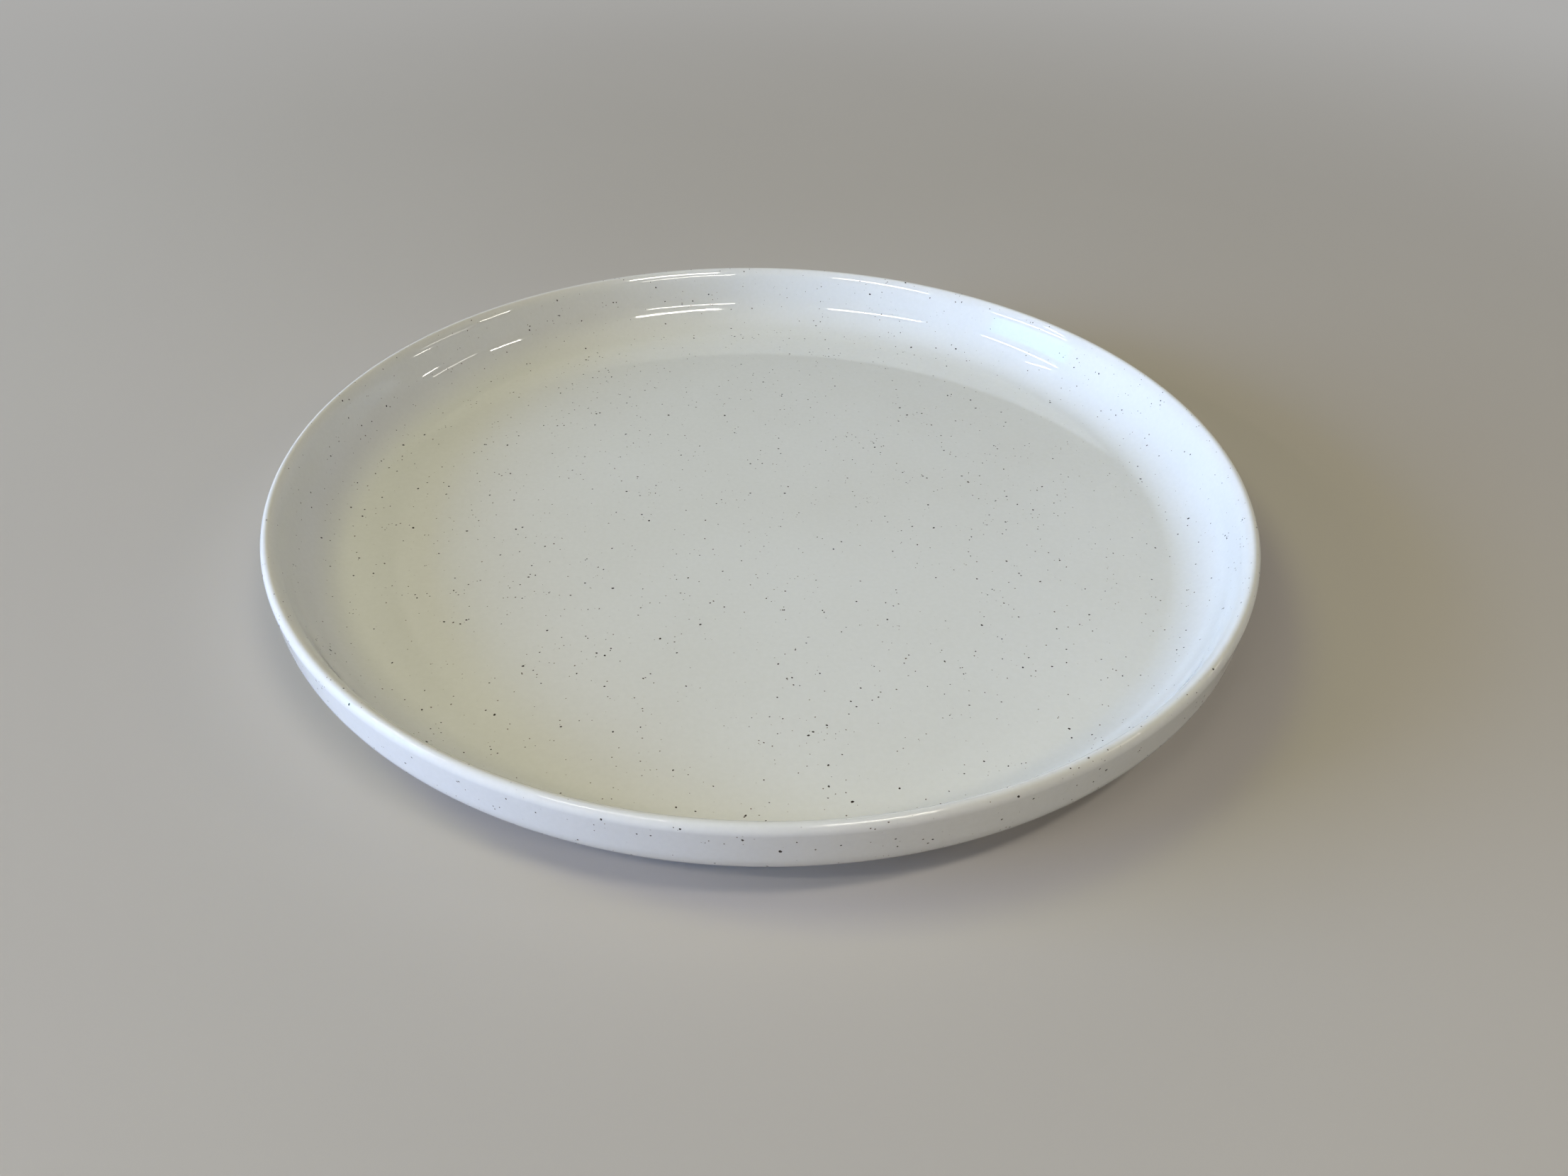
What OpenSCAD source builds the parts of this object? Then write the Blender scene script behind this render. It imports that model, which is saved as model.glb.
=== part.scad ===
// Coupe dinner plate in glazed stoneware: a wide, slightly dished well that runs by a cove into
// a short steep wall with a soft lip, on an inset foot ring whose standing edge is left bare.
// Millimetres, +Z up, with the origin in the middle of the foot ring, on the table.

/* [Plate] */
// Diameter over the outside of the lip
plate_d = 275; // [255:1:330]
// Thickness of the floor in the middle of the well, glaze included
floor_t = 5.5; // [4.5:0.1:9]

/* [Lip] */
// Radius of the crest along the top of the lip
crest_r = 1.3; // [1:0.1:1.8]
// Slope at which the crest runs into the shoulder inside it, in degrees
crest_in_slope = 43; // [30:1:50]
// Slope at which the crest runs into the shoulder outside it, in degrees
crest_out_slope = 45; // [30:1:60]
// Radius of the shoulder inside the crest
inner_shoulder_r = 8; // [4:0.1:10]
// Radius of the shoulder outside the crest
outer_shoulder_r = 2.6; // [1.8:0.1:4]

/* [Well] */
// Depth from the top of the lip to the middle of the well
well_depth = 18.9; // [16:0.1:26]
// Slope of the dished floor where the cove begins, in degrees
dish_slope = 0.8; // [0.2:0.1:2]
// Radius of the cove between the floor and the inside wall
cove_r = 15.5; // [8:0.5:20]
// Lean of the inside wall from upright, in degrees
well_lean = 19.5; // [10:0.5:25]

/* [Outside] */
// Lean of the outside wall from upright, in degrees
wall_lean = 4.2; // [1:0.1:8]
// Height above the edge of the floor at which the outside wall turns under
turn_h = 8.5; // [6.5:0.1:10]
// Radius of the corner under the outside wall
corner_r = 8.5; // [6.5:0.1:11]
// Slope at which the corner runs out into the underside, in degrees
corner_slope = 40; // [30:1:50]
// Slope of the underside where it reaches the foot ring, in degrees
underside_slope = 5; // [1:0.5:8]

/* [Foot ring] */
// Outside diameter of the foot ring, on the bare clay
foot_d = 184; // [150:1:205]
// Width of the foot ring
foot_w = 6; // [4:0.1:12]
// Height of the underside where it reaches the foot ring
foot_h = 3; // [2.8:0.1:4.5]
// Height of the recess inside the foot ring
recess_h = 3.6; // [2.8:0.1:6]
// Radius of the hollows at the root of the foot ring
foot_fillet_r = 1.6; // [0.5:0.1:1.7]
// Radius of the two edges that the plate stands on
foot_edge_r = 0.8; // [0.3:0.1:0.9]

/* [Glaze] */
// Thickness of the glaze coat
glaze_t = 0.4; // [0.2:0.05:0.8]
// Height of the wiped line above which the foot ring is glazed
glaze_line = 1; // [0.9:0.05:1.1]

/* [Hidden] */
clay_colour = "antiquewhite";
glaze_colour = "whitesmoke";

// Straight pieces on each round stretch of the profile, and around the plate
floor_steps = 12;
cove_steps = 18;
shoulder_steps = 10;
crest_steps = 12;
corner_steps = 12;
underside_steps = 16;
fillet_steps = 6;
edge_steps = 5;
turn_steps = 180;

// The underside's curve: how much of the fall and of the run its two inner control points take
underside_fall_share = 0.67;
underside_run_share = 0.5;
// The most of the wall that the cove may take up
cove_fit_share = 0.98;

// Lip: a crest and a shoulder on either side of it, each running into the next without a break
plate_r = plate_d / 2;
floor_mid_z = recess_h + floor_t;
lip_top_z = floor_mid_z + well_depth;
outer_step = (outer_shoulder_r - crest_r) * [sin(crest_out_slope), cos(crest_out_slope)];
inner_step = (inner_shoulder_r - crest_r) * [-sin(crest_in_slope), cos(crest_in_slope)];
crest_mid = [plate_r - outer_shoulder_r + outer_step.x, lip_top_z - crest_r];
outer_mid = crest_mid - outer_step;
inner_mid = crest_mid - inner_step;
lip_in_end = inner_mid + inner_shoulder_r * [-cos(well_lean), sin(well_lean)];
lip_out_end = outer_mid + outer_shoulder_r * [cos(wall_lean), -sin(wall_lean)];

// Cove: touches the inside wall and the end of the dished floor, and no larger than the wall allows
wall_room = lip_in_end.y - floor_mid_z - lip_in_end.x * tan(dish_slope / 2);
cove_room_r = wall_room / (cos(dish_slope) - sin(well_lean));
cove_fit_r = min(cove_r, cove_fit_share * cove_room_r);
cove_over_lip = floor_mid_z + cove_fit_r * cos(dish_slope) - lip_in_end.y;
cove_reach = lip_in_end.x + cove_fit_r * sin(dish_slope);
floor_run = cos(well_lean) * cove_reach + sin(well_lean) * cove_over_lip - cove_fit_r;
floor_r = floor_run / (cos(well_lean) - sin(well_lean) * tan(dish_slope / 2));
floor_edge_z = floor_mid_z + floor_r * tan(dish_slope / 2);
dish_r = floor_r / sin(dish_slope);
cove_mid = [floor_r, floor_edge_z] + cove_fit_r * [-sin(dish_slope), cos(dish_slope)];

// Corner: leaves the outside wall at the turn height
turn_z = floor_edge_z + turn_h;
turn_x = lip_out_end.x - (lip_out_end.y - turn_z) * tan(wall_lean);
corner_mid = [turn_x, turn_z] - corner_r * [cos(wall_lean), -sin(wall_lean)];
corner_end = corner_mid + corner_r * [sin(corner_slope), -cos(corner_slope)];

// Foot ring, and the hollows at its root on either side
foot_r = foot_d / 2;
foot_in_r = foot_r - foot_w;
root_mid = [foot_r + glaze_t + foot_fillet_r, foot_h - foot_fillet_r * cos(underside_slope)];
root_start = root_mid + foot_fillet_r * [-sin(underside_slope), cos(underside_slope)];
recess_mid = [foot_in_r - glaze_t - foot_fillet_r, recess_h - foot_fillet_r];

// Underside: control points of the curve from the corner to the foot ring
underside_fall = underside_fall_share * (corner_end.y - root_start.y);
underside_run = underside_run_share * (corner_end.x - root_start.x);
underside = [
    corner_end,
    corner_end - underside_fall * [1 / tan(corner_slope), 1],
    root_start + underside_run * [1, tan(underside_slope)],
    root_start
];

function unit(v) = v / norm(v);
function tail(list) = [for (i = [1:len(list) - 1]) list[i]];
function backwards(list) = [for (i = [len(list) - 1:-1:0]) list[i]];

function arc(mid, r, from_a, to_a, steps) =
    [for (i = [0:steps]) let (a = from_a + (to_a - from_a) * i / steps) mid + r * [cos(a), sin(a)]];

// The lip from the inside wall to the outside wall, set back into the clay by inset
function lip_curve(inset) = concat(
    arc(inner_mid, inner_shoulder_r - inset, 180 - well_lean, 90 + crest_in_slope, shoulder_steps),
    tail(arc(crest_mid, crest_r - inset, 90 + crest_in_slope, 90 - crest_out_slope, crest_steps)),
    tail(arc(outer_mid, outer_shoulder_r - inset, 90 - crest_out_slope, -wall_lean, shoulder_steps))
);

function bezier(p, t) =
    pow(1 - t, 3) * p[0] + 3 * pow(1 - t, 2) * t * p[1] + 3 * (1 - t) * t * t * p[2] + pow(t, 3) * p[3];

function bezier_run(p, t) =
    pow(1 - t, 2) * (p[1] - p[0]) + 2 * (1 - t) * t * (p[2] - p[1]) + t * t * (p[3] - p[2]);

// A point on the underside, set back into the clay by inset
function underside_point(t, inset) =
    let (run = unit(bezier_run(underside, t)))
    bezier(underside, t) - inset * [-run.y, run.x];

function underside_curve(inset) =
    [for (i = [0:underside_steps]) underside_point(i / underside_steps, inset)];

// Everything that the upper glaze covers, from the middle of the well to the line on the foot ring
function upper_surface(inset) = concat(
    arc([0, floor_mid_z + dish_r], dish_r + inset, -90, dish_slope - 90, floor_steps),
    tail(arc(cove_mid, cove_fit_r + inset, dish_slope - 90, -well_lean, cove_steps)),
    lip_curve(inset),
    arc(corner_mid, corner_r - inset, -wall_lean, corner_slope - 90, corner_steps),
    tail(underside_curve(inset)),
    tail(arc(root_mid, foot_fillet_r + inset, 90 + underside_slope, 180, fillet_steps)),
    [[foot_r + glaze_t - inset, glaze_line]]
);

// Everything that the base glaze covers, from the middle of the recess to the line on the foot ring
function base_surface(inset) = concat(
    [[0, recess_h + inset]],
    arc(recess_mid, foot_fillet_r + inset, 90, 0, fillet_steps),
    [[foot_in_r - glaze_t + inset, glaze_line]]
);

// The bare standing edge of the foot ring, from its outer face to its inner face
function standing_edge() = concat(
    arc([foot_r - foot_edge_r, foot_edge_r], foot_edge_r, 0, -90, edge_steps),
    arc([foot_in_r + foot_edge_r, foot_edge_r], foot_edge_r, -90, -180, edge_steps)
);

module turned(profile) {
    rotate_extrude($fn = turn_steps) polygon(profile);
}

// Fired clay: the surfaces under the two glaze coats, joined by the bare standing edge
module stoneware_body() {
    color(clay_colour)
    turned(concat(upper_surface(glaze_t), standing_edge(), backwards(base_surface(glaze_t))));
}

// Glaze over the well, the lip, the outside wall and the underside
module upper_glaze() {
    color(glaze_colour)
    turned(concat(upper_surface(0), backwards(upper_surface(glaze_t))));
}

// Glaze in the recess inside the foot ring
module base_glaze() {
    color(glaze_colour)
    turned(concat(base_surface(0), backwards(base_surface(glaze_t))));
}

stoneware_body();
upper_glaze();
base_glaze();
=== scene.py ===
"""Looks of a speckled white stoneware coupe plate, in metres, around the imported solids.

The plate is turned, so each coat is a profile spun about the Z axis. The profile is the one that
the solids follow, with finer steps. A profile is a list of (radius, height) points, and a run is
the length along it from its start.
"""

import math

import bpy
import numpy as np
from mathutils import Matrix, Vector


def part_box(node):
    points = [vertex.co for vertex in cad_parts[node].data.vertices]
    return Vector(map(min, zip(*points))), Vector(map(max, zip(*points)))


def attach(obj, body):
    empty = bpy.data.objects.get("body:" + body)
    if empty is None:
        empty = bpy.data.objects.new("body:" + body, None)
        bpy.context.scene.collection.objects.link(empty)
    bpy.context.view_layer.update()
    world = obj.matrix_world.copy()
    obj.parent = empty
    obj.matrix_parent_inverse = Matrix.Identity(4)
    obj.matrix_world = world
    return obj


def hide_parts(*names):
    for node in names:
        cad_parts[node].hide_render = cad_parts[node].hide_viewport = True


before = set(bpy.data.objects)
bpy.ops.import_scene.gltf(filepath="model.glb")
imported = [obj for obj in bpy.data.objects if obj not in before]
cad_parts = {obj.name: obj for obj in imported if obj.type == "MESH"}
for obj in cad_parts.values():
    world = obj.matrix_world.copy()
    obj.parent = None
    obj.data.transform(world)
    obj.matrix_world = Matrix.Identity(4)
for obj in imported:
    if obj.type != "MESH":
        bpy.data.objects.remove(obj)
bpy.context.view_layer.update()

MM = 0.001
CM = 0.01
QUARTER = math.pi / 2
UP = (0, 0, 1)

# Sizes taken from the solids
UPPER_LOW, UPPER_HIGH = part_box("upper_glaze")
_, BASE_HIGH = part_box("base_glaze")
PLATE_R = UPPER_HIGH.x
LIP_TOP = UPPER_HIGH.z
GLAZE_LINE = UPPER_LOW.z
FOOT_IN_R = BASE_HIGH.x

# Sizes of the turned profile, as in the solids
GLAZE_T = 0.4 * MM
CREST_R = 1.3 * MM
CREST_IN_SLOPE = math.radians(43)
CREST_OUT_SLOPE = math.radians(45)
INNER_SHOULDER_R = 8 * MM
OUTER_SHOULDER_R = 2.6 * MM
WELL_DEPTH = 18.9 * MM
DISH_SLOPE = math.radians(0.8)
COVE_R = 15.5 * MM
WELL_LEAN = math.radians(19.5)
WALL_LEAN = math.radians(4.2)
TURN_H = 8.5 * MM
CORNER_R = 8.5 * MM
CORNER_SLOPE = math.radians(40)
UNDERSIDE_SLOPE = math.radians(5)
UNDERSIDE_FALL_SHARE = 0.67
UNDERSIDE_RUN_SHARE = 0.5
FOOT_W = 6 * MM
FOOT_H = 3 * MM
FOOT_FILLET_R = 1.6 * MM
FOOT_EDGE_R = 0.8 * MM

# Radius of the soft lower edge of each glaze coat
ROLL_R = 0.2 * MM

# Steps on each stretch of the visible skin, the hidden skin's share of them, and around the plate
FLOOR_STEPS = 84
COVE_STEPS = 26
INNER_WALL_STEPS = 4
SHOULDER_STEPS = 12
CREST_STEPS = 16
WALL_STEPS = 6
CORNER_STEPS = 14
UNDERSIDE_STEPS = 30
FILLET_STEPS = 7
EDGE_STEPS = 8
RECESS_STEPS = 40
TURN_STEPS = 320
HIDDEN_SHARE = 0.3
FEWEST_STEPS = 2

# Unevenness left by the forming: a warp of the walls, still at the crest, and rings in the well
WARP_H = 0.07 * MM
WARP_WAVES = (2, 3, 5, 9)
WARP_CREST_REACH = 4 * MM
RIPPLE_H = 0.004 * MM
RIPPLE_PITCH = 7.5 * MM
RIPPLE_REACH = 80 * MM

# Iron specks: how many, their outlines' waves and depths, how many lie near another one, their
# radii, their section, and their tones, which are a draw from 0 to 1 that falls with the radius
SEED = 41
SPECKS_PER_CM2 = 4.0
BASE_SPECKS_PER_CM2 = 1.6
SPECK_SIDES = 8
SPECK_LOBES = ((2, 0.16), (3, 0.09))
SPECK_PAIR_SHARE = 0.2
SPECK_PAIR_GAP = 1.6 * MM
SPECK_R_MEDIAN = 0.19 * MM
SPECK_R_LOG_SPREAD = 0.34
SPECK_R_MOST = 0.46 * MM
SPECK_H = 0.025 * MM
SPECK_SINK = 0.012 * MM
SPECK_DEPTH = 0.08 * MM
SPECK_SHOULDER_SHARE = 0.62
SPECK_SHOULDER_RISE_SHARE = 0.72
SPECK_TONE_DRAW = (1.4, 1.9)
SPECK_TONE_FALL = 0.9

# Discs that each coat's rings take up on its surface map: middle and radius, as shares of the map
WELL_DISC = ((0.33, 0.67), 0.32)
OUTSIDE_DISC = ((0.755, 0.245), 0.235)
UPPER_HIDDEN_DISC = ((0.9, 0.9), 0.08)
BASE_DISC = ((0.42, 0.42), 0.41)
BASE_HIDDEN_DISC = ((0.91, 0.91), 0.08)
BODY_TOP_DISC = ((0.24, 0.76), 0.23)
FOOT_DISC = ((0.62, 0.38), 0.36)
BODY_UNDER_DISC = ((0.85, 0.85), 0.1)
SPECK_MAP_SHARE = 0.4

# Surfaces: L is the length of a pattern's features, H the depth of a relief, and colours are stops
# from 0 to 1. Roughness runs between two values where its noise runs over a span
NOISE_SPAN = (0.3, 0.7)
GLAZE_IOR = 1.52
CLOUD_L = 55 * MM
CLOUD_COLOURS = ((0.3, (0.69, 0.695, 0.66)), (0.7, (0.715, 0.725, 0.7)))
CREAM_BAND = 2.4 * MM
CREAM_SHARE = 0.35
CREAM_COLOUR = (0.72, 0.695, 0.63)
GRAIN_L = 1.3 * MM
GRAIN_COLOURS = ((0.25, (0.965, 0.965, 0.96)), (0.75, (1.0, 1.0, 1.0)))
GLAZE_GLOSS_L = 12 * MM
GLAZE_ROUGHNESS = (0.02, 0.05)
SWELL_L = 9 * MM
SWELL_H = 0.012 * MM
PEEL_L = 1.6 * MM
PEEL_H = 0.0025 * MM
IRON_COLOURS = ((0, (0.042, 0.032, 0.026)), (0.45, (0.165, 0.13, 0.1)), (1, (0.45, 0.41, 0.34)))
MOTTLE_L = 0.2 * MM
MOTTLE_COLOURS = ((0.3, (0.8, 0.8, 0.8)), (0.7, (1, 1, 1)))
IRON_GLOSS_L = 0.3 * MM
IRON_ROUGHNESS = (0.1, 0.22)
SAND_L = 0.9 * MM
SAND_COLOURS = ((0.25, (0.42, 0.35, 0.27)), (0.75, (0.62, 0.54, 0.44)))
SAND_COARSENESS = 0.7
CLAY_GLOSS_L = 2 * MM
CLAY_NOISE_SPAN = (0.2, 0.8)
CLAY_ROUGHNESS = (0.7, 0.95)
PIT_L = 0.35 * MM
PIT_H = 0.12 * MM
FLOOR_REACH = 6.0
FLOOR_PATCH_L = 0.5
FLOOR_COLOURS = ((0.3, (0.45, 0.42, 0.38)), (0.7, (0.48, 0.45, 0.41)))
FLOOR_ROUGHNESS = 0.7

# Faint dots within the glaze and the clay: how far apart, their radius, the share of it that is
# full, and their strength, which depends on a draw from 0 to 1
GLAZE_DOT_GAP = 2.3 * MM
GLAZE_DOT_R = 0.24 * MM
GLAZE_DOT_COLOUR = (0.22, 0.19, 0.15)
CLAY_DOT_GAP = 1.6 * MM
CLAY_DOT_R = 0.3 * MM
CLAY_DOT_COLOUR = (0.1, 0.07, 0.05)
DOT_FULL_SHARE = 0.45
DOT_DRAW_SPAN = (0.15, 1)
DOT_STRENGTH = (0, 0.4)

# Camera, from the plate's outline in the photograph
PHOTO_W = 2212
PHOTO_FOCAL = 1725
SENSOR_W = 36
CAMERA_PLACE = (6.44 * MM, -299.66 * MM, 215.85 * MM)
CAMERA_PITCH = math.radians(37.97)
CAMERA_ROLL = math.radians(1.723)
CAMERA_CLIP = 10 * MM

# Lamps: tints, then each soft box's ends, width, radiance, tint and whether the glaze mirrors it,
# each strip's ends, width and radiance, and the radiance that some strips add in the mirror alone
COOL = (0.475, 0.6, 1.0)
CYAN = (0.08, 0.85, 1.0)
STRAW = (1.0, 0.98, 0.42)
ROSE = (1.0, 0.72, 0.66)
WARM = (1.0, 0.945, 0.85)
SOFT_BOXES = {
    "broad": (((-2.2, 0.12, 0.55), (-1.9, -1.1, 0.55)), 0.8, 21, COOL, False),
    "upper": (((-1.29, 0.35, 1.91), (-1.29, -0.35, 1.91)), 0.7, 6.4, STRAW, False),
    "floor": (((-1.4, -0.1, 0.035), (-0.65, -1.2, 0.035)), 0.06, 8, ROSE, False),
    "back": (((0.84, 2.03, 0.5), (-0.84, 2.03, 0.5)), 0.93, 1.8, WARM, False),
    "window": (((-1.32, -0.69, 0.22), (-1.5, -0.11, 0.22)), 0.42, 2.6, CYAN, True),
}
STRIPS = {
    "right_near": (((0.58, -0.45, 1.2), (0.23, -0.61, 1.2)), 0.1, 31),
    "right_far": (((0.825, -0.99, 1.2), (0.235, -1.085, 1.2)), 0.055, 31),
    "left": (((-0.325, -0.865, 1.2), (-0.985, -0.88, 1.2)), 0.055, 31),
    "window": (((-1.8, -0.91, 1.2), (-2.18, -0.08, 1.2)), 0.055, 31),
    "short": (((-1.08, 0.04, 1.2), (-1.48, 0.05, 1.2)), 0.03, 31),
    "side": (((1.8, -0.07, 1.2), (1.6, -0.31, 1.2)), 0.08, 31),
    "side_far": (((2.5, 0.58, 1.2), (2.45, -0.05, 1.2)), 0.1, 8),
    "low": (((1.98, 0.28, 0.5), (1.95, 0.45, 0.5)), 0.06, 31),
}
GLINTS = {"right_near": 130, "left": 200, "window": 100}

# Faint glow from the right, and the backdrop that the camera and the glaze see: it dims overhead,
# over a span of the upward part of a direction, and takes over from the floor farther out
GLOW_AXIS = (1.0, 0.0, 0.1)
GLOW_RADIANCE = 0.075
GLOW_TINT = (0.35, 0.55, 1.0)
BACKDROP_RADIANCE = 0.42
BACKDROP_OVERHEAD = 0.05
BACKDROP_TOP = (0.2, 0.45)
BACKDROP_TINT = (1.0, 0.99, 0.97)
BACKDROP_FROM = 0.25
BACKDROP_FULL = 0.95

# Heights and radii that follow from the sizes above
FLOOR_MID_Z = LIP_TOP - WELL_DEPTH
FOOT_R = FOOT_IN_R + FOOT_W
RECESS_H = BASE_HIGH.z - GLAZE_T


def arc(mid, radius, start, end, steps):
    """Points of an arc, with both its ends."""
    angles = np.linspace(start, end, steps + 1)
    return np.asarray(mid) + radius * np.stack([np.cos(angles), np.sin(angles)], 1)


def lip_mids():
    """Middles of the lip's three arcs: the inner shoulder, the crest and the outer shoulder."""
    outward = np.array([math.sin(CREST_OUT_SLOPE), math.cos(CREST_OUT_SLOPE)])
    inward = np.array([-math.sin(CREST_IN_SLOPE), math.cos(CREST_IN_SLOPE)])
    outer_step = (OUTER_SHOULDER_R - CREST_R) * outward
    inner_step = (INNER_SHOULDER_R - CREST_R) * inward
    crest = np.array([PLATE_R - OUTER_SHOULDER_R + outer_step[0], LIP_TOP - CREST_R])
    return crest - inner_step, crest, crest - outer_step


INNER_MID, CREST_MID, OUTER_MID = lip_mids()
LIP_IN_END = INNER_MID + INNER_SHOULDER_R * np.array([-math.cos(WELL_LEAN), math.sin(WELL_LEAN)])
LIP_OUT_END = OUTER_MID + OUTER_SHOULDER_R * np.array([math.cos(WALL_LEAN), -math.sin(WALL_LEAN)])


def lip_curve(inset, steps):
    """The lip from the inside wall to the outside wall, set back into the clay by inset."""
    inner_a, outer_a = QUARTER + CREST_IN_SLOPE, QUARTER - CREST_OUT_SLOPE
    shoulder = steps(SHOULDER_STEPS)
    return np.concatenate([
        arc(INNER_MID, INNER_SHOULDER_R - inset, math.pi - WELL_LEAN, inner_a, shoulder),
        arc(CREST_MID, CREST_R - inset, inner_a, outer_a, steps(CREST_STEPS))[1:],
        arc(OUTER_MID, OUTER_SHOULDER_R - inset, outer_a, -WALL_LEAN, shoulder)[1:],
    ])


def bezier(p, t):
    t = t[:, None]
    s = 1 - t
    return s**3 * p[0] + 3 * s**2 * t * p[1] + 3 * s * t**2 * p[2] + t**3 * p[3]


def bezier_run(p, t):
    """Unit directions of the curve."""
    t = t[:, None]
    run = (1 - t) ** 2 * (p[1] - p[0]) + 2 * (1 - t) * t * (p[2] - p[1]) + t**2 * (p[3] - p[2])
    return run / np.linalg.norm(run, axis=1)[:, None]


def between(a, b, steps):
    """The points that part the straight line from a to b into steps, without its ends."""
    return a + np.linspace(0, 1, steps + 1)[1:-1, None] * (b - a)


def cove_place():
    """End of the dished floor and middle of the cove, which touches it and the inside wall."""
    over_lip = FLOOR_MID_Z + COVE_R * math.cos(DISH_SLOPE) - LIP_IN_END[1]
    reach = LIP_IN_END[0] + COVE_R * math.sin(DISH_SLOPE)
    run = math.cos(WELL_LEAN) * reach + math.sin(WELL_LEAN) * over_lip - COVE_R
    floor_r = run / (math.cos(WELL_LEAN) - math.sin(WELL_LEAN) * math.tan(DISH_SLOPE / 2))
    edge = np.array([floor_r, FLOOR_MID_Z + floor_r * math.tan(DISH_SLOPE / 2)])
    return edge, edge + COVE_R * np.array([-math.sin(DISH_SLOPE), math.cos(DISH_SLOPE)])


FLOOR_EDGE, COVE_MID = cove_place()
DISH_R = FLOOR_EDGE[0] / math.sin(DISH_SLOPE)


def corner_place():
    """Middle of the corner under the outside wall, and where it runs out."""
    turn_z = FLOOR_EDGE[1] + TURN_H
    turn = np.array([LIP_OUT_END[0] - (LIP_OUT_END[1] - turn_z) * math.tan(WALL_LEAN), turn_z])
    mid = turn - CORNER_R * np.array([math.cos(WALL_LEAN), -math.sin(WALL_LEAN)])
    return mid, mid + CORNER_R * np.array([math.sin(CORNER_SLOPE), -math.cos(CORNER_SLOPE)])


def root_place():
    """Middle of the hollow at the outer root of the foot ring, and where the hollow begins."""
    rise = FOOT_FILLET_R * np.array([-math.sin(UNDERSIDE_SLOPE), math.cos(UNDERSIDE_SLOPE)])
    mid = np.array([FOOT_R + GLAZE_T + FOOT_FILLET_R, FOOT_H - rise[1]])
    return mid, mid + rise


CORNER_MID, CORNER_END = corner_place()
ROOT_MID, ROOT_START = root_place()
RECESS_MID = np.array([FOOT_IN_R - GLAZE_T - FOOT_FILLET_R, RECESS_H - FOOT_FILLET_R])


def underside_points(t, inset):
    """Points of the curve from the corner to the foot ring, set back into the clay by inset."""
    fall = UNDERSIDE_FALL_SHARE * (CORNER_END[1] - ROOT_START[1])
    run = UNDERSIDE_RUN_SHARE * (CORNER_END[0] - ROOT_START[0])
    controls = (
        CORNER_END,
        CORNER_END - fall * np.array([1 / math.tan(CORNER_SLOPE), 1]),
        ROOT_START + run * np.array([1, math.tan(UNDERSIDE_SLOPE)]),
        ROOT_START,
    )
    along = bezier_run(controls, t)
    return bezier(controls, t) - inset * np.stack([-along[:, 1], along[:, 0]], 1)


def upper_surface(inset, share=1.0):
    """The upper glaze's surface from the middle of the well to just above the line on the foot
    ring, set back into the clay by inset, with that share of the visible skin's steps."""

    def steps(count):
        return max(FEWEST_STEPS, round(count * share))

    floor_a = DISH_SLOPE - QUARTER
    corner_a = CORNER_SLOPE - QUARTER
    root_a = QUARTER + UNDERSIDE_SLOPE
    dish_mid = (0, FLOOR_MID_Z + DISH_R)
    floor = arc(dish_mid, DISH_R + inset, -QUARTER, floor_a, steps(FLOOR_STEPS))
    cove = arc(COVE_MID, COVE_R + inset, floor_a, -WELL_LEAN, steps(COVE_STEPS))
    lip = lip_curve(inset, steps)
    corner = arc(CORNER_MID, CORNER_R - inset, -WALL_LEAN, corner_a, steps(CORNER_STEPS))
    underside = underside_points(np.linspace(0, 1, steps(UNDERSIDE_STEPS) + 1), inset)
    root = arc(ROOT_MID, FOOT_FILLET_R + inset, root_a, math.pi, steps(FILLET_STEPS))
    floor[0, 0] = 0
    return np.concatenate([
        floor,
        cove[1:],
        between(cove[-1], lip[0], INNER_WALL_STEPS),
        lip,
        between(lip[-1], corner[0], WALL_STEPS),
        corner,
        underside[1:],
        root[1:],
    ])


def base_surface(inset, share=1.0):
    """The base glaze's surface from the middle of the recess to just above the line on the foot
    ring, likewise."""
    steps = max(FEWEST_STEPS, round(RECESS_STEPS * share))
    roof = np.array([RECESS_MID[0], RECESS_H + inset])
    centre = np.array([0, RECESS_H + inset])
    fillet = arc(RECESS_MID, FOOT_FILLET_R + inset, QUARTER, 0, FILLET_STEPS)
    return np.concatenate([centre[None], between(centre, roof, steps), fillet])


def rolled_edge(outside_r, towards):
    """The soft lower edge of a glaze coat, from its skin round to the clay. towards is 1 where the
    clay lies outside the coat, and -1 where it lies inside."""
    mid = np.array([outside_r + towards * ROLL_R, GLAZE_LINE + ROLL_R])
    turn = arc((0, 0), ROLL_R, 0, -QUARTER, EDGE_STEPS)
    foot = np.array([[outside_r + towards * GLAZE_T, GLAZE_LINE]])
    return np.concatenate([mid + turn * np.array([-towards, 1]), foot])


def standing_edge():
    """The bare foot ring, from its outer face to its inner face."""
    outer_mid = (FOOT_R - FOOT_EDGE_R, FOOT_EDGE_R)
    inner_mid = (FOOT_IN_R + FOOT_EDGE_R, FOOT_EDGE_R)
    outer = arc(outer_mid, FOOT_EDGE_R, 0, -QUARTER, EDGE_STEPS)
    inner = arc(inner_mid, FOOT_EDGE_R, -QUARTER, -math.pi, EDGE_STEPS)
    flat = between(outer[-1], inner[0], WALL_STEPS)
    return np.concatenate([outer, flat, inner])


def run_along(profile):
    """The run of each point of a profile."""
    return np.concatenate([[0], np.cumsum(np.linalg.norm(np.diff(profile, axis=0), axis=1))])


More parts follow.
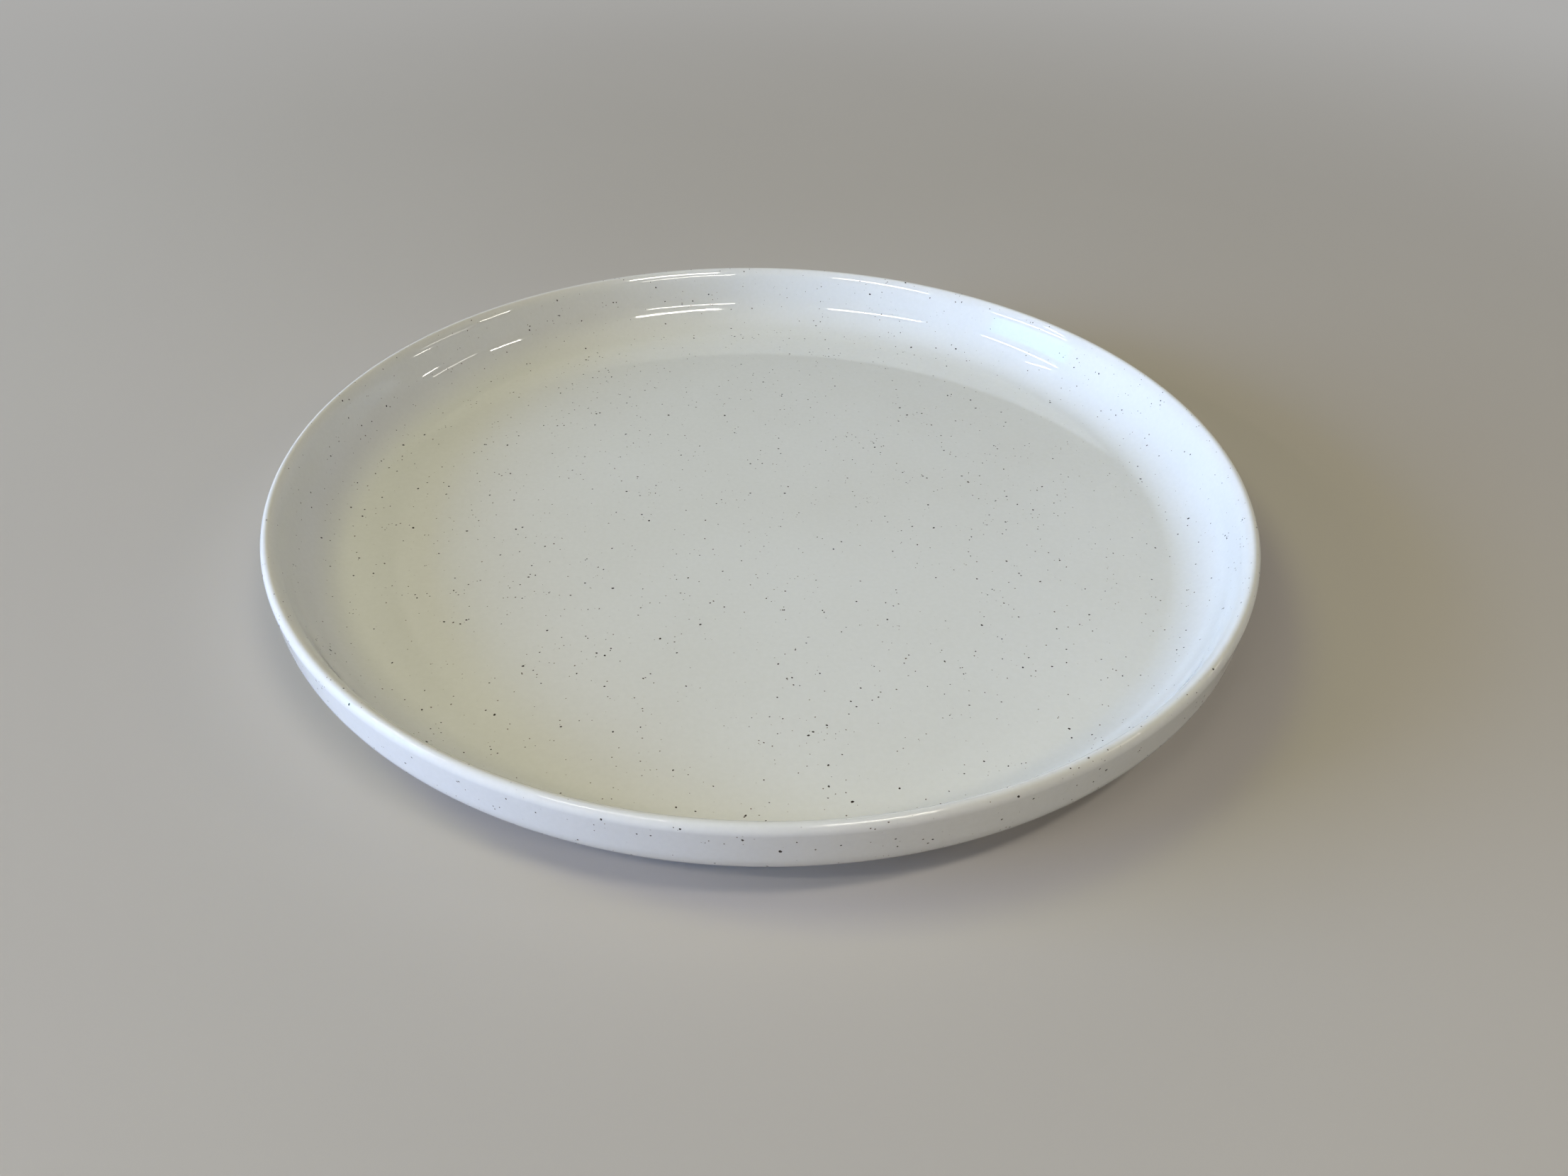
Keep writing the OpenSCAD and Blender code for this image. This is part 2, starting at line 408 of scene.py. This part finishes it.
class Skin:
    """A coat's visible surface as functions of the run from its middle and the angle.
    side is 1 where the coat faces up in its middle, and -1 where it faces down."""

    def __init__(self, surface, side):
        self.side = side
        self.points = surface(0)
        outward = self.points - surface(GLAZE_T)
        self.outward = outward / np.linalg.norm(outward, axis=1)[:, None]
        self.run = run_along(self.points)

    def unevenness(self, run, angle):
        """How far the skin stands out from the true profile."""
        return 0

    def radius(self, run):
        return np.interp(run, self.run, self.points[:, 0])

    def place(self, run, angle, height=0):
        """Points over the skin at these runs and angles, that far outside it."""
        off = self.unevenness(run, angle) + height
        r = self.radius(run) + np.interp(run, self.run, self.outward[:, 0]) * off
        z = np.interp(run, self.run, self.points[:, 1])
        out_z = np.interp(run, self.run, self.outward[:, 1])
        return np.stack([r * np.cos(angle), r * np.sin(angle), z + out_z * off], -1)


class UpperSkin(Skin):
    """The upper coat's skin, with a slight warp in its walls and turning rings in its well."""

    def __init__(self):
        super().__init__(upper_surface, 1)
        self.crest = self.run[np.argmax(self.points[:, 1])]
        self.floor_end = self.run[FLOOR_STEPS]
        self.phases = np.random.default_rng(SEED).uniform(0, 2 * math.pi, len(WARP_WAVES))

    def unevenness(self, run, angle):
        rise = np.clip((run - self.floor_end) / (self.crest - self.floor_end), 0, 1)
        fall = np.clip((self.run[-1] - run) / (self.run[-1] - self.crest), 0, 1)
        warp = sum(np.cos(k * angle + p) / k for k, p in zip(WARP_WAVES, self.phases))
        side = np.where(run < self.crest, -1, 1)
        still = np.exp(-np.abs(run - self.crest) / WARP_CREST_REACH)
        swell = WARP_H * side * np.minimum(rise, fall) ** 2 * (1 - still)
        rings = RIPPLE_H * np.cos(2 * math.pi * run / RIPPLE_PITCH)
        return swell * warp + rings * np.exp(-((run / RIPPLE_REACH) ** 2))


UPPER_SKIN = UpperSkin()
BASE_SKIN = Skin(base_surface, -1)


# Meshes


def new_object(name, points, faces, material):
    mesh = bpy.data.meshes.new(name)
    mesh.from_pydata(points, [], faces)
    mesh.validate()
    mesh.shade_smooth()
    mesh.materials.append(material)
    piece = bpy.data.objects.new(name, mesh)
    bpy.context.scene.collection.objects.link(piece)
    return piece


def turn_angles():
    return np.arange(TURN_STEPS) * 2 * math.pi / TURN_STEPS


def spun_rings(profile):
    """A ring of points for each point of a profile."""
    angles = turn_angles()
    r = profile[:, 0, None]
    z = np.broadcast_to(profile[:, 1, None], (len(profile), TURN_STEPS))
    return np.stack([r * np.cos(angles), r * np.sin(angles), z], -1)


def lathe(name, rings, material, maps):
    """A closed turned piece. The first and last rings lie on the axis and become one point each.
    maps gives each ring's place on the surface map: the middle of a disc and a radius in it."""
    inner = rings[1:-1]
    count = len(inner)
    points = np.concatenate([rings[0, :1], inner.reshape(-1, 3), rings[-1, :1]])
    first = 1 + np.arange(count)[:, None] * TURN_STEPS + np.arange(TURN_STEPS)
    after = np.roll(first, -1, axis=1)
    last = len(points) - 1
    start = np.stack([np.zeros(TURN_STEPS, int), first[0], after[0]], 1)
    band = np.stack([first[:-1], first[1:], after[1:], after[:-1]], -1).reshape(-1, 4)
    end = np.stack([np.full(TURN_STEPS, last), after[-1], first[-1]], 1)
    faces = start.tolist() + band.tolist() + end.tolist()
    piece = new_object(name, points.tolist(), faces, material)
    lay_map(piece, maps)
    return piece


def lay_map(piece, maps):
    """Lays each ring of a lathe on a disc of the surface map, so that no two share a place."""
    mid, radius = maps
    angles = turn_angles()
    wheel = np.stack([np.cos(angles), np.sin(angles)], -1)
    ring_uv = mid[1:-1, None, :] + radius[1:-1, None, None] * wheel[None]
    set_map(piece, np.concatenate([mid[:1], ring_uv.reshape(-1, 2), mid[-1:]]))


def set_map(piece, point_uv):
    """Gives a piece its surface map, from a place on the map for each of its points."""
    corners = np.zeros(len(piece.data.loops), np.int32)
    piece.data.loops.foreach_get("vertex_index", corners)
    layer = piece.data.uv_layers.new(name="OFBake")
    layer.data.foreach_set("uv", point_uv[corners].astype(np.float32).ravel())


def disc_map(stretches):
    """Map places of a lathe's rings. A stretch is its rings' radii, in any unit, and a disc."""
    mids, radii = [], []
    for radius, (mid, most) in stretches:
        mids.append(np.broadcast_to(np.array(mid, float), (len(radius), 2)))
        radii.append(most * radius / radius.max())
    return np.concatenate(mids), np.concatenate(radii)


def run_back(profile):
    """The run that is left from each point of a profile to its end."""
    run = run_along(profile)
    return run[-1] - run


def make_upper_glaze(material):
    roll = rolled_edge(FOOT_R + GLAZE_T, -1)
    hidden = upper_surface(GLAZE_T, HIDDEN_SHARE)[::-1]
    shown = np.concatenate([UPPER_SKIN.points, roll])
    inside = run_along(shown) <= UPPER_SKIN.crest
    maps = disc_map([
        (run_along(shown)[inside], WELL_DISC),
        (FOOT_R + run_back(shown)[~inside], OUTSIDE_DISC),
        (run_back(hidden), UPPER_HIDDEN_DISC),
    ])
    skin = UPPER_SKIN.place(UPPER_SKIN.run[:, None], turn_angles()[None])
    rings = np.concatenate([skin, spun_rings(roll), spun_rings(hidden)])
    return lathe("upper_glaze_coat", rings, material, maps)


def make_base_glaze(material):
    hidden = base_surface(GLAZE_T, HIDDEN_SHARE)
    shown = np.concatenate([BASE_SKIN.points, rolled_edge(FOOT_IN_R - GLAZE_T, 1)])[::-1]
    maps = disc_map([(run_along(hidden), BASE_HIDDEN_DISC), (run_back(shown), BASE_DISC)])
    rings = spun_rings(np.concatenate([hidden, shown]))
    return lathe("base_glaze_coat", rings, material, maps)


def make_body(material):
    top = upper_surface(GLAZE_T, HIDDEN_SHARE)
    foot = standing_edge()
    under = base_surface(GLAZE_T, HIDDEN_SHARE)[::-1]
    maps = disc_map([
        (run_along(top), BODY_TOP_DISC),
        (FOOT_IN_R + run_back(foot), FOOT_DISC),
        (run_back(under), BODY_UNDER_DISC),
    ])
    rings = spun_rings(np.concatenate([top, foot, under]))
    return lathe("clay_body", rings, material, maps)


def speck_places(skin, per_cm2, rng):
    """Run and angle of each speck: even over the skin, with some drawn near another one."""
    mid_run = (skin.run[1:] + skin.run[:-1]) / 2
    areas = 2 * math.pi * skin.radius(mid_run) * np.diff(skin.run)
    count = int(areas.sum() / CM**2 * per_cm2)
    share = np.concatenate([[0], np.cumsum(areas)]) / areas.sum()
    run = np.interp(rng.uniform(0, 1, count), share, skin.run)
    angle = rng.uniform(0, 2 * math.pi, count)
    paired = np.flatnonzero(rng.uniform(0, 1, count) < SPECK_PAIR_SHARE)
    mates = rng.integers(0, count, len(paired))
    gap = SPECK_PAIR_GAP * rng.normal(0, 1, (len(paired), 2))
    run[paired] = run[mates] + gap[:, 0]
    around = np.maximum(skin.radius(run[mates]), SPECK_PAIR_GAP)
    angle[paired] = angle[mates] + gap[:, 1] / around
    edge = 2 * SPECK_R_MOST
    return np.clip(np.abs(run), edge, skin.run[-1] - edge), angle


def speck_faces():
    """Faces of one speck over its points: crown, ring of the shoulder, ring of the rim, root."""
    sides = [(1 + k, 1 + (k + 1) % SPECK_SIDES) for k in range(SPECK_SIDES)]
    root = 1 + 2 * SPECK_SIDES
    cap = [(0, a, b) for a, b in sides]
    brim = [(a, a + SPECK_SIDES, b + SPECK_SIDES, b) for a, b in sides]
    under = [(root, b + SPECK_SIDES, a + SPECK_SIDES) for a, b in sides]
    return cap + brim + under


SPECK_FACES = speck_faces()


def make_specks(name, skin, per_cm2, material):
    """Iron specks: low lenses that lie in the glaze, each with its own outline, size and tone."""
    rng = np.random.default_rng(SEED)
    run, angle = speck_places(skin, per_cm2, rng)
    count = len(run)
    radius = SPECK_R_MEDIAN * np.exp(SPECK_R_LOG_SPREAD * rng.normal(0, 1, count))
    radius = np.minimum(radius, SPECK_R_MOST)
    fall = SPECK_TONE_FALL * (radius / SPECK_R_MEDIAN - 1)
    tone = np.clip(rng.beta(*SPECK_TONE_DRAW, count) - fall, 0, 1)
    turn = np.arange(SPECK_SIDES) * 2 * math.pi / SPECK_SIDES
    outline = np.ones((count, SPECK_SIDES))
    for waves, depth in SPECK_LOBES:
        outline += depth * np.cos(waves * (turn - rng.uniform(0, 2 * math.pi, (count, 1))))
    around = np.maximum(skin.radius(run), 2 * SPECK_R_MOST)

    def ring(share, height):
        reach = radius[:, None] * outline * share
        at_run = run[:, None] + reach * np.cos(turn)
        at_angle = angle[:, None] + skin.side * reach * np.sin(turn) / around[:, None]
        return skin.place(at_run, at_angle, height)

    flatter = np.minimum(1, radius / SPECK_R_MEDIAN)
    points = np.concatenate([
        skin.place(run, angle, SPECK_H * flatter)[:, None],
        ring(SPECK_SHOULDER_SHARE, SPECK_H * SPECK_SHOULDER_RISE_SHARE * flatter[:, None]),
        ring(1, -SPECK_SINK),
        skin.place(run, angle, -SPECK_DEPTH)[:, None],
    ], 1)
    per_speck = points.shape[1]
    starts = range(0, count * per_speck, per_speck)
    faces = [tuple(start + k for k in face) for start in starts for face in SPECK_FACES]
    piece = new_object(name, points.reshape(-1, 3).tolist(), faces, material)
    tones = piece.data.attributes.new("tone", "FLOAT", "POINT")
    tones.data.foreach_set("value", np.repeat(tone, per_speck).astype(np.float32))
    lay_speck_map(piece, count, turn)
    return piece


def lay_speck_map(piece, count, turn):
    """Gives each speck a square of its own on the surface map."""
    across = math.ceil(math.sqrt(count))
    mids = (np.stack(np.divmod(np.arange(count), across), -1) + 0.5) / across
    wheel = np.stack([np.cos(turn), np.sin(turn)], -1) * SPECK_MAP_SHARE / across
    still = np.zeros((1, 2))
    disc = np.concatenate([still, SPECK_SHOULDER_SHARE * wheel, wheel, still])
    set_map(piece, (mids[:, None] + disc[None]).reshape(-1, 2))


# Materials

# Places of the colour sockets on a mix node, which share their names with those of other kinds
MIX_FACTOR, MIX_FIRST, MIX_SECOND = 0, 6, 7
MIX_RESULT = 2


def set_range(node, span, ends):
    """Has a map-range node bring values from a span to between two ends."""
    for name, number in zip(("From Min", "From Max", "To Min", "To Max"), (*span, *ends)):
        node.inputs[name].default_value = number


class Nodes:
    """A material's node tree, with short calls to add nodes and join sockets."""

    def __init__(self, name):
        self.material = bpy.data.materials.new(name)
        self.material.use_nodes = True
        self.tree = self.material.node_tree
        self.shader = self.tree.nodes["Principled BSDF"]
        self.place = self.add("ShaderNodeTexCoord").outputs["Object"]

    def add(self, kind, **values):
        node = self.tree.nodes.new(kind)
        for name, value in values.items():
            setattr(node, name, value)
        return node

    def join(self, source, target):
        self.tree.links.new(source, target)

    def shade(self, **sources):
        """Joins sources to the shader's inputs, by the inputs' names with _ for a space."""
        for name, source in sources.items():
            self.join(source, self.shader.inputs[name.replace("_", " ")])

    def noise(self, feature, detail=2.0, rough=0.5):
        """Noise from 0 to 1 with features of about that length."""
        node = self.add("ShaderNodeTexNoise")
        node.inputs["Scale"].default_value = 1 / feature
        node.inputs["Detail"].default_value = detail
        node.inputs["Roughness"].default_value = rough
        self.join(self.place, node.inputs["Vector"])
        return node.outputs["Fac"]

    def ramp(self, factor, stops):
        """A colour that follows the factor through stops of a position and a colour."""
        node = self.add("ShaderNodeValToRGB")
        node.color_ramp.elements[0].position = stops[0][0]
        node.color_ramp.elements[0].color = (*stops[0][1], 1)
        node.color_ramp.elements[1].position = stops[-1][0]
        node.color_ramp.elements[1].color = (*stops[-1][1], 1)
        for position, colour in stops[1:-1]:
            node.color_ramp.elements.new(position).color = (*colour, 1)
        self.join(factor, node.inputs["Fac"])
        return node.outputs["Color"]

    def mix(self, factor, first, second, blend="MIX"):
        """Mixes two colours, each a socket or a plain colour, by a socket or a number."""
        node = self.add("ShaderNodeMix", data_type="RGBA", blend_type=blend)
        for value, slot in ((factor, MIX_FACTOR), (first, MIX_FIRST), (second, MIX_SECOND)):
            if isinstance(value, bpy.types.NodeSocket):
                self.join(value, node.inputs[slot])
            else:
                node.inputs[slot].default_value = value if slot == MIX_FACTOR else (*value, 1)
        return node.outputs[MIX_RESULT]

    def spread(self, value, span, ends):
        """Brings a value smoothly from a span to between two ends, and holds it there."""
        node = self.add("ShaderNodeMapRange", interpolation_type="SMOOTHSTEP")
        set_range(node, span, ends)
        self.join(value, node.inputs["Value"])
        return node.outputs["Result"]

    def times(self, first, second):
        node = self.add("ShaderNodeMath", operation="MULTIPLY")
        self.join(first, node.inputs[0])
        self.join(second, node.inputs[1])
        return node.outputs[0]

    def height(self):
        node = self.add("ShaderNodeSeparateXYZ")
        self.join(self.place, node.inputs[0])
        return node.outputs["Z"]

    def bump(self, height, depth, under=None):
        """A relief of that depth, on another relief where one is given."""
        node = self.add("ShaderNodeBump")
        node.inputs["Strength"].default_value = 1
        node.inputs["Distance"].default_value = depth
        self.join(height, node.inputs["Height"])
        if under is not None:
            self.join(under, node.inputs["Normal"])
        return node.outputs["Normal"]


def faint_dots(nodes, gap, radius):
    """A mask of soft dots, each with its own strength: points of a cell pattern."""
    cells = nodes.add("ShaderNodeTexVoronoi", feature="F1")
    cells.inputs["Scale"].default_value = 1 / gap
    nodes.join(nodes.place, cells.inputs["Vector"])
    reach = radius / gap
    dots = nodes.spread(cells.outputs["Distance"], (DOT_FULL_SHARE * reach, reach), (1, 0))
    split = nodes.add("ShaderNodeSeparateColor")
    nodes.join(cells.outputs["Color"], split.inputs["Color"])
    strength = nodes.spread(split.outputs["Red"], DOT_DRAW_SPAN, DOT_STRENGTH)
    return nodes.times(dots, strength)


def glaze_material(name):
    """Glossy white glaze: cloudy, creamier where it thins over the lip, with faint dots."""
    nodes = Nodes(name)
    cloud = nodes.ramp(nodes.noise(CLOUD_L, detail=3), CLOUD_COLOURS)
    thin = nodes.spread(nodes.height(), (LIP_TOP - CREAM_BAND, LIP_TOP), (0, CREAM_SHARE))
    creamy = nodes.mix(thin, cloud, CREAM_COLOUR)
    grain = nodes.ramp(nodes.noise(GRAIN_L), GRAIN_COLOURS)
    coat = nodes.mix(1.0, creamy, grain, "MULTIPLY")
    dots = faint_dots(nodes, GLAZE_DOT_GAP, GLAZE_DOT_R)
    gloss = nodes.noise(GLAZE_GLOSS_L, detail=3)
    swell = nodes.bump(nodes.noise(SWELL_L, detail=1), SWELL_H)
    nodes.shade(
        Base_Color=nodes.mix(dots, coat, GLAZE_DOT_COLOUR),
        Roughness=nodes.spread(gloss, NOISE_SPAN, GLAZE_ROUGHNESS),
        Normal=nodes.bump(nodes.noise(PEEL_L), PEEL_H, swell),
    )
    nodes.shader.inputs["IOR"].default_value = GLAZE_IOR
    return nodes.material


def clay_material():
    """Bare fired stoneware: buff, sandy and matt, with iron grains."""
    nodes = Nodes("bare_stoneware")
    sand = nodes.ramp(nodes.noise(SAND_L, detail=4, rough=SAND_COARSENESS), SAND_COLOURS)
    dots = faint_dots(nodes, CLAY_DOT_GAP, CLAY_DOT_R)
    gloss = nodes.noise(CLAY_GLOSS_L, detail=3)
    nodes.shade(
        Base_Color=nodes.mix(dots, sand, CLAY_DOT_COLOUR),
        Roughness=nodes.spread(gloss, CLAY_NOISE_SPAN, CLAY_ROUGHNESS),
        Normal=nodes.bump(nodes.noise(PIT_L, detail=4, rough=SAND_COARSENESS), PIT_H),
    )
    return nodes.material


def speck_material():
    """Iron that has melted into the glaze: near black to pale brown-grey, by each speck's tone."""
    nodes = Nodes("iron_speck")
    tone = nodes.add("ShaderNodeAttribute", attribute_name="tone").outputs["Fac"]
    iron = nodes.ramp(tone, IRON_COLOURS)
    mottle = nodes.ramp(nodes.noise(MOTTLE_L), MOTTLE_COLOURS)
    nodes.shade(
        Base_Color=nodes.mix(1.0, iron, mottle, "MULTIPLY"),
        Roughness=nodes.spread(nodes.noise(IRON_GLOSS_L), NOISE_SPAN, IRON_ROUGHNESS),
    )
    nodes.shader.inputs["IOR"].default_value = GLAZE_IOR
    return nodes.material


def seen(tree):
    """1 for rays from the camera or from a mirror, and 0 for rays that gather light."""
    path = tree.nodes.new("ShaderNodeLightPath").outputs
    share = path["Is Camera Ray"]
    for kind in ("Is Glossy Ray", "Is Transmission Ray"):
        either = tree.nodes.new("ShaderNodeMath")
        either.operation = "MAXIMUM"
        tree.links.new(share, either.inputs[0])
        tree.links.new(path[kind], either.inputs[1])
        share = either.outputs[0]
    return share


def floor_material():
    """A pale matt floor that runs out into the backdrop, as a studio sweep does."""
    nodes = Nodes("studio_floor")
    nodes.shade(Base_Color=nodes.ramp(nodes.noise(FLOOR_PATCH_L), FLOOR_COLOURS))
    nodes.shader.inputs["Roughness"].default_value = FLOOR_ROUGHNESS
    nodes.shader.inputs["Specular IOR Level"].default_value = 0
    distance = nodes.add("ShaderNodeVectorMath", operation="LENGTH")
    nodes.join(nodes.place, distance.inputs[0])
    away = nodes.spread(distance.outputs["Value"], (BACKDROP_FROM, BACKDROP_FULL), (0, 1))
    backdrop = nodes.add("ShaderNodeEmission")
    backdrop.inputs["Color"].default_value = (*BACKDROP_TINT, 1)
    backdrop.inputs["Strength"].default_value = BACKDROP_RADIANCE
    sweep = nodes.add("ShaderNodeMixShader")
    nodes.join(nodes.times(away, seen(nodes.tree)), sweep.inputs[0])
    nodes.join(nodes.shader.outputs[0], sweep.inputs[1])
    nodes.join(backdrop.outputs[0], sweep.inputs[2])
    nodes.join(sweep.outputs[0], nodes.tree.nodes["Material Output"].inputs["Surface"])
    return nodes.material


# Stage


def make_floor(material):
    sides = ((-1, -1), (1, -1), (1, 1), (-1, 1))
    corners = [(x * FLOOR_REACH, y * FLOOR_REACH, 0) for x, y in sides]
    floor = new_object("studio_floor", corners, [(0, 1, 2, 3)], material)


def softbox(name, ends, width, radiance, tint, mirrored=True, lights=True):
    """A rectangular lamp that faces the plate, from one end of its long mid line to the other.
    Its power follows from how bright it looks. It can be left out of mirrors, or only be there."""
    start, end = Vector(ends[0]), Vector(ends[1])
    across = (end - start).normalized()
    middle = (start + end) / 2
    back = (middle - across * middle.dot(across)).normalized()
    lamp = bpy.data.lights.new(name, "AREA")
    lamp.shape = "RECTANGLE"
    lamp.size, lamp.size_y = (end - start).length, width
    lamp.energy = radiance * math.pi * lamp.size * lamp.size_y
    lamp.color = tint
    box = bpy.data.objects.new(name, lamp)
    box.visible_glossy = mirrored
    box.visible_diffuse = lights
    box.visible_camera = False
    turn = Matrix((across, back.cross(across), back)).transposed().to_4x4()
    box.matrix_world = Matrix.Translation(middle) @ turn
    bpy.context.scene.collection.objects.link(box)


def make_lamps():
    """A broad cool box low on the left, a warm one high above it, one on the floor that only
    reaches the outside wall, a faint one at the back, a small one that the right wall mirrors, and
    thin warm strips, some of which the glaze mirrors more brightly than they light it."""
    for name, (ends, width, radiance, tint, mirrored) in SOFT_BOXES.items():
        softbox(name, ends, width, radiance, tint, mirrored)
    for name, (ends, width, radiance) in STRIPS.items():
        softbox("strip_" + name, ends, width, radiance, WARM)
    for name, radiance in GLINTS.items():
        ends, width, _ = STRIPS[name]
        softbox("glint_" + name, ends, width, radiance, WARM, lights=False)


def make_world():
    """A faint glow that falls off evenly away from its axis and lights the plate, and the plain
    pale backdrop that the camera and the glaze see in its place."""
    world = bpy.data.worlds.new("studio")
    bpy.context.scene.world = world
    world.use_nodes = True
    tree = world.node_tree

    def background(tint, radiance):
        node = tree.nodes.new("ShaderNodeBackground")
        node.inputs["Color"].default_value = (*tint, 1)
        tree.links.new(radiance, node.inputs["Strength"])
        return node

    def falling(axis, span, ends):
        """A strength that follows how far the direction points along an axis."""
        towards = tree.nodes.new("ShaderNodeVectorMath")
        towards.operation = "DOT_PRODUCT"
        towards.inputs[1].default_value = Vector(axis).normalized()
        tree.links.new(direction, towards.inputs[0])
        fall = tree.nodes.new("ShaderNodeMapRange")
        set_range(fall, span, ends)
        tree.links.new(towards.outputs["Value"], fall.inputs["Value"])
        return fall.outputs["Result"]

    direction = tree.nodes.new("ShaderNodeTexCoord").outputs["Generated"]
    glow = background(GLOW_TINT, falling(GLOW_AXIS, (0, 1), (0, GLOW_RADIANCE)))
    dimming = falling(UP, BACKDROP_TOP, (BACKDROP_RADIANCE, BACKDROP_OVERHEAD))
    backdrop = background(BACKDROP_TINT, dimming)
    either = tree.nodes.new("ShaderNodeMixShader")
    tree.links.new(seen(tree), either.inputs[0])
    tree.links.new(glow.outputs[0], either.inputs[1])
    tree.links.new(backdrop.outputs[0], either.inputs[2])
    tree.links.new(either.outputs[0], tree.nodes["World Output"].inputs["Surface"])


def make_camera():
    lens = bpy.data.cameras.new("camera")
    lens.sensor_fit = "HORIZONTAL"
    lens.sensor_width = SENSOR_W
    lens.lens = SENSOR_W * PHOTO_FOCAL / PHOTO_W
    lens.clip_start = CAMERA_CLIP
    camera = bpy.data.objects.new("camera", lens)
    tilt = Matrix.Rotation(QUARTER - CAMERA_PITCH, 4, "X") @ Matrix.Rotation(CAMERA_ROLL, 4, "Z")
    camera.matrix_world = Matrix.Translation(CAMERA_PLACE) @ tilt
    bpy.context.scene.collection.objects.link(camera)
    bpy.context.scene.camera = camera


def make_plate():
    coat = make_upper_glaze(glaze_material("speckled_white_glaze"))
    base = make_base_glaze(glaze_material("base_white_glaze"))
    body = make_body(clay_material())
    iron = speck_material()
    specks = make_specks("iron_specks", UPPER_SKIN, SPECKS_PER_CM2, iron)
    base_specks = make_specks("base_iron_specks", BASE_SKIN, BASE_SPECKS_PER_CM2, iron)
    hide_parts("upper_glaze")
    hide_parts("base_glaze")
    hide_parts("stoneware_body")
    slots = {
        "speckled_glaze": (coat, specks),
        "base_glaze": (base, base_specks),
        "stoneware": (body,),
    }
    for slot, pieces in slots.items():
        for piece in pieces:
            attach(piece, "root")


make_plate()
make_floor(floor_material())
make_lamps()
make_world()
make_camera()
bpy.context.scene.view_settings.view_transform = "Standard"
